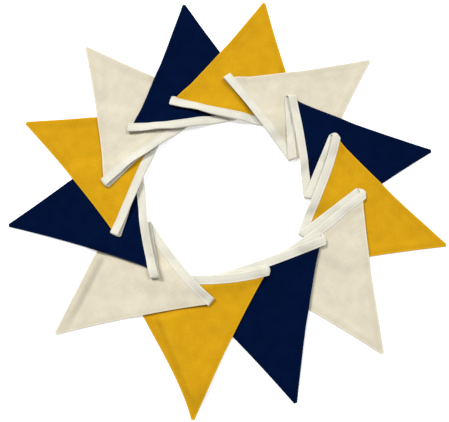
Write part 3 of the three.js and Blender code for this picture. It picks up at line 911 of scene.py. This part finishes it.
# %% Runs along and back
TAPE_STEP = 2.6  # from one section of the tape to the next
LEAD_EASE = 45.0  # length over which the slant of a fold comes out of the tape
THIN_EASE = 6.0  # length over which it gets thinner past the turned corner


def shear_of(crease, along, to_closed):
    """How far along the tape the closed edge lies from the open one, at a crease."""
    return TAPE_WIDTH * (crease @ along) / (crease @ to_closed)


def stations(length):
    """Distances from 0 to a length, in even steps."""
    return np.linspace(0, length, max(3, round(length / TAPE_STEP) + 1))


def lead_crease(i):
    """The crease of the fold at the leading corner."""
    return crease_between(flags[i - 1]["back"], flags[i]["along"], flags[i]["out"])


def slant(along, length, ease, first, last):
    """The shear along a run: whole at the folds at its two ends, and out of the tape past the ease."""
    return first * (1 - smooth(along / ease)) + last * smooth(1 - (length - along) / ease)


def leg_run(i):
    """Along the pennant: (layer, open edge, closed edge, side up, thickness) of each section."""
    flag = flags[i]
    first = -HALF - flag["lead"]
    along = stations(flag["turn_x"] - first)
    x = first + along
    to_closed = inward(flag, flag["turn_x"])
    shear = slant(along, along[-1], LEAD_EASE,
                  shear_of(lead_crease(i), flag["along"], inward(flag, first)),
                  shear_of(flag["crease"], flag["along"], to_closed))
    opening = edge(flag, x)
    closed = opening + inward(flag, x) * TAPE_WIDTH + shear[:, None] * flag["along"]
    closed[-1] = flag["turn"] + flag["crease"] * TAPE_WIDTH / (flag["crease"] @ to_closed)
    return 2 * i, opening, closed, 1, np.full(len(x), BAND)


def back_run(i, start=0.0, end=None):
    """Back along the turned corner, and bare from there to the next leading corner."""
    flag = flags[i]
    length = flag["back_length"]
    along = start + stations((length if end is None else end) - start)
    shear = slant(along, length, length / 2,
                  shear_of(flag["crease"], flag["back"], flag["back_inward"]),
                  shear_of(lead_crease((i + 1) % COUNT), flag["back"], flag["back_inward"]))
    opening = flag["turn"] + along[:, None] * flag["back"]
    closed = opening + shear[:, None] * flag["back"] + flag["back_inward"] * TAPE_WIDTH
    thin = smooth((along - flag["corner_length"]) / THIN_EASE)
    return 2 * i + 1, opening, closed, -1, BAND + (BARE - BAND) * thin


print("sections on the first run:", len(leg_run(0)[1]))

# %% Half turns and the whole route
FOLD_STEPS = 10  # sections round half a turn
TAIL = 16.0  # bare tape at each end of the string


def lay(run):
    """The middle surface of a run at every point of the section, its normals and its thickness."""
    layer, opening, closed, side, thickness = run
    share = SECTION / TAPE_WIDTH
    plan = opening[:, None] + share[:, None] * (closed - opening)[:, None]
    height = under(layer, plan) + thickness[:, None] / 2 + spring(layer, plan, share)
    normal = np.zeros(plan.shape[:2] + (3,))
    normal[..., 2] = side
    return np.concatenate([plan, height[..., None]], -1), normal, thickness


def half_turn(before, after, away, nose):
    """Round from the last section of one run to the first of the next, in the layer above: the
    height rises as 1 - cos, and the tape swings out sideways as sin."""
    low, normal, start = before[0][-1], before[1][-1], before[2][-1]
    high, end = after[0][0], after[2][0]
    angle = np.linspace(0, np.pi, FOLD_STEPS + 1)[1:-1, None]
    radius = (high[:, 2] - low[:, 2]) / 2
    share = SECTION / TAPE_WIDTH
    bulge = (radius + nose * (1 - (2 * share - 1) ** 2)) * np.sin(angle)
    points = low + ((1 - np.cos(angle)) / 2)[..., None] * (high - low)
    points[..., :2] += bulge[..., None] * away
    turned = np.cos(angle)[..., None] * normal
    turned[..., :2] -= (np.sin(angle) * normal[:, 2])[..., None] * away
    return points, turned, start + (end - start) * angle[:, 0] / np.pi


def tape_route():
    """All runs and half turns from end to end. Both ends lie under the first pennant."""
    runs = [lay(back_run(COUNT - 1, flags[-1]["back_length"] - TAIL))]
    for i, flag in enumerate(flags):
        leg = lay(leg_run(i))
        stop = flag["corner_length"] + TAIL if i == COUNT - 1 else None
        back = lay(back_run(i, 0.0, stop))
        away = square_to(lead_crease(i), -flag["along"])
        runs += [half_turn(runs[-1], leg, away, flag["nose"]), leg,
                 half_turn(leg, back, flag["away"], 0.0), back]
    return [np.concatenate(parts) for parts in zip(*runs)]


route = tape_route()
print("the tape has", len(route[0]), "sections")


# %% The tape
def tube_faces(index):
    """The faces of a grid whose last column meets its first."""
    return grid_faces(np.column_stack([index, index[:, 0]]))


def distances(line):
    """How far along a line each of its points lies: the sum of the steps up to it."""
    return np.cumsum(np.linalg.norm(np.diff(line, axis=0, prepend=line[:1]), axis=1))


def make_tape(middle, normal, thickness):
    """The section at every station, as a closed tube with a cap at each cut end. A cap is a strip
    between the outer and the inner side of the section."""
    height = section_heights(thickness)
    points = middle + height[..., None] * normal
    index = np.arange(height.size).reshape(height.shape)
    first_cap, last_cap = [grid_faces(np.stack([section[:OUTER_POINTS], section[:OUTER_POINTS - 1:-1]]))
                           for section in (index[0], index[-1])]
    faces = np.concatenate([tube_faces(index), first_cap[:, ::-1], last_cap])
    across = np.where(height[0] < 0, 2 * TAPE_WIDTH - SECTION, SECTION)
    uv = np.stack(np.broadcast_arrays(distances(middle[:, 0])[:, None], across), -1)
    return put_piece("binding", points.reshape(-1, 3), faces, uv.reshape(-1, 2), FINISHES["binding"])


tape = make_tape(*route)
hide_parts("binding_tape")
print("tape:", len(tape.data.polygons), "faces")

# %% [markdown]
# The stitching. A row of machine stitches holds the folded tape shut and the cloth in it. It runs near
# the open edge on both faces, in a shallow groove that the thread itself pulls in. An image of stitches
# could be laid on the tape, but here each stitch is a small spindle of thread, so it also shows close by.
# All of them are worked out at once, from the same section that made the tape.

# %% Where the stitches lie
STITCH_LENGTH = 1.9
STITCH_PITCH = 2.5  # a stitch and the hole after it
THREAD_RADIUS = 0.2
THREAD_RISE = 0.06  # how far a stitch arches up in its middle
STITCH_RINGS = 5
STITCH_SIDES = 5
STITCH_ROW = int(np.argmin(np.abs(SIDE_STEPS - STITCH_IN)))


def seam_line(middle, normal, thickness, row, face):
    """Where the stitches run on one face of the tape, and which way is up from it there."""
    height = section_heights(thickness)[:, row, None]
    return middle[:, row] + height * normal[:, row], face * normal[:, row]


def along_line(values, run, places):
    """Values given at distances along a line, read off at other places on it."""
    return np.stack([np.interp(places, run, values[:, k]) for k in range(values.shape[1])], -1)


def stitch_points(line, up):
    """All stitches on one line. Each is a spindle: rings round its middle line, with a radius that goes
    as the root of 1 - t^2 from one end, t = -1, to the other, and a pole at each end."""
    run = distances(line)
    middles = np.arange(STITCH_PITCH, run[-1] - STITCH_PITCH, STITCH_PITCH)
    t = np.linspace(-1, 1, STITCH_RINGS + 2)
    places = middles[:, None] + t * STITCH_LENGTH / 2
    lift = unit(along_line(up, run, places))
    across = unit(np.cross(along_line(np.gradient(line, run, axis=0), run, places), lift))
    middle = along_line(line, run, places) + (THREAD_RISE * (1 - t ** 2))[:, None] * lift
    angle = np.arange(STITCH_SIDES) * 2 * np.pi / STITCH_SIDES
    radius = (THREAD_RADIUS * np.sqrt(1 - t ** 2))[:, None, None]
    ring = middle[:, :, None] + radius * (np.cos(angle)[:, None] * across[:, :, None]
                                          + np.sin(angle)[:, None] * lift[:, :, None])
    rings = ring[:, 1:-1].reshape(len(middles), -1, 3)
    points = np.concatenate([middle[:, :1], rings, middle[:, -1:]], axis=1)
    distance = np.concatenate([places[:, :1], np.repeat(places[:, 1:-1], STITCH_SIDES, axis=1),
                               places[:, -1:]], axis=1)
    return points, distance


seam_length = distances(seam_line(*route, STITCH_ROW, 1)[0])[-1]
print("the row of stitches is", round(seam_length * MM, 3), "m long")


# %% The stitching
def stitch_faces(count):
    """The faces of all stitches. The points of the first and the last ring of each are one, its pole."""
    size = STITCH_RINGS * STITCH_SIDES + 2
    rings = np.arange((STITCH_RINGS + 2) * STITCH_SIDES).reshape(-1, STITCH_SIDES)
    one = tube_faces(np.clip(rings - (STITCH_SIDES - 1), 0, size - 1))[:, ::-1]
    return (one + np.arange(count)[:, None, None] * size).reshape(-1, 4)


def make_stitching():
    """The stitches on both faces of the tape, joined in one mesh."""
    lines = [seam_line(*route, STITCH_ROW, 1), seam_line(*route, OUTER_POINTS - 1 - STITCH_ROW, -1)]
    parts = [stitch_points(*line) for line in lines]
    points = np.concatenate([part for part, _ in parts])
    distance = np.concatenate([part for _, part in parts])
    uv = np.stack([distance, np.zeros_like(distance)], -1)
    faces = stitch_faces(len(points))
    piece = put_piece("stitching", points.reshape(-1, 3), faces, uv.reshape(-1, 2), FINISHES["thread"])
    print("stitches:", len(points))
    return piece


stitching = make_stitching()

# %% [markdown]
# The cut of each sheet. The cloth lies folded, so its cut is not the size it lies at. A pennant is a
# triangle with a blunt tip, plus the strip inside the tape. The tape is cut twice as wide as it shows,
# and as long as all the top edges and gaps together. The row of stitches measures a few per cent more
# than that, because it goes over the layers and round the folds.

# %% [markdown]
# Floor and light. The string lies on white paper that shows almost no shade. A brighter light could do
# that, but it would wash out the cloth, so the paper gives off a little light of its own. A large soft
# light from the upper left and a weaker one from the upper right keep the shadows short and pale.

# %% Floor
FLOOR_SIDE = 6.0  # metres
FLOOR_DROP = 0.2  # just clear of the cloth, so that the two surfaces don't coincide
PAPER_COLOUR = (0.80, 0.80, 0.815, 1)
PAPER_ROUGHNESS = 0.9
PAPER_GLOW = 0.38
WHITE = (1, 1, 1, 1)
bpy.ops.mesh.primitive_plane_add(size=FLOOR_SIDE, location=(0, 0, -FLOOR_DROP * MM))
floor = bpy.context.object
floor.name = "floor"
paper = bpy.data.materials.new("white paper")
paper.use_nodes = True
fill(paper.node_tree, paper.node_tree.nodes["Principled BSDF"], {
    "Base Color": PAPER_COLOUR, "Roughness": PAPER_ROUGHNESS, "Emission Color": WHITE,
    "Emission Strength": PAPER_GLOW})
floor.data.materials.append(paper)
print("floor", FLOOR_SIDE, "m wide")

# %% Light
ROOM_LIGHT = 0.37
SOFTBOX_SIDE = 4.4  # metres
LEFT_PLACE, LEFT_POWER = (-6.0, 6.6, 10.0), 1640.0
RIGHT_PLACE, RIGHT_POWER = (7.0, 4.6, 10.0), 785.0


def softbox(name, place_m, power):
    """A square area light that faces the middle of the wreath."""
    data = bpy.data.lights.new(name, "AREA")
    data.shape = "SQUARE"
    data.size = SOFTBOX_SIDE
    data.energy = power
    lamp = bpy.data.objects.new(name, data)
    lamp.location = place_m
    lamp.rotation_mode = "QUATERNION"
    lamp.rotation_quaternion = (-Vector(place_m)).to_track_quat("-Z", "Y")
    bpy.context.scene.collection.objects.link(lamp)


softbox("left softbox", LEFT_PLACE, LEFT_POWER)
softbox("right softbox", RIGHT_PLACE, RIGHT_POWER)
world = bpy.data.worlds.new("studio")
bpy.context.scene.world = world
world.use_nodes = True
fill(world.node_tree, world.node_tree.nodes["Background"], {"Color": WHITE, "Strength": ROOM_LIGHT})
print("lights:", LEFT_POWER, "W and", RIGHT_POWER, "W")

# %% [markdown]
# Camera. It looks down from the front, nearly from straight above. A long lens from far away would
# lose the perspective, but the near pennants do look larger than the far ones. So the camera stands
# just over half a metre away.

# %% Camera
PICTURE_WIDTH = 449
FOCAL_PIXELS = 410.9
SENSOR_WIDTH = 36.0
VIEW_ELEVATION = math.radians(80.52)
VIEW_DISTANCE = 540.1
VIEW_TARGET = Vector((-2.9, -23.05, 0.0))
CLIP = (0.01, 50)  # metres
camera = bpy.data.objects.new("camera", bpy.data.cameras.new("camera"))
bpy.context.scene.collection.objects.link(camera)
camera.data.sensor_width = SENSOR_WIDTH
camera.data.lens = SENSOR_WIDTH * FOCAL_PIXELS / PICTURE_WIDTH
camera.data.clip_start, camera.data.clip_end = CLIP
toward = Vector((0, -math.cos(VIEW_ELEVATION), math.sin(VIEW_ELEVATION)))
camera.location = (VIEW_TARGET + VIEW_DISTANCE * toward) * MM
camera.rotation_mode = "QUATERNION"
camera.rotation_quaternion = (-toward).to_track_quat("-Z", "Y")
bpy.context.scene.camera = camera
bpy.context.scene.view_settings.view_transform = "Standard"
print("lens", round(camera.data.lens, 2), "mm")
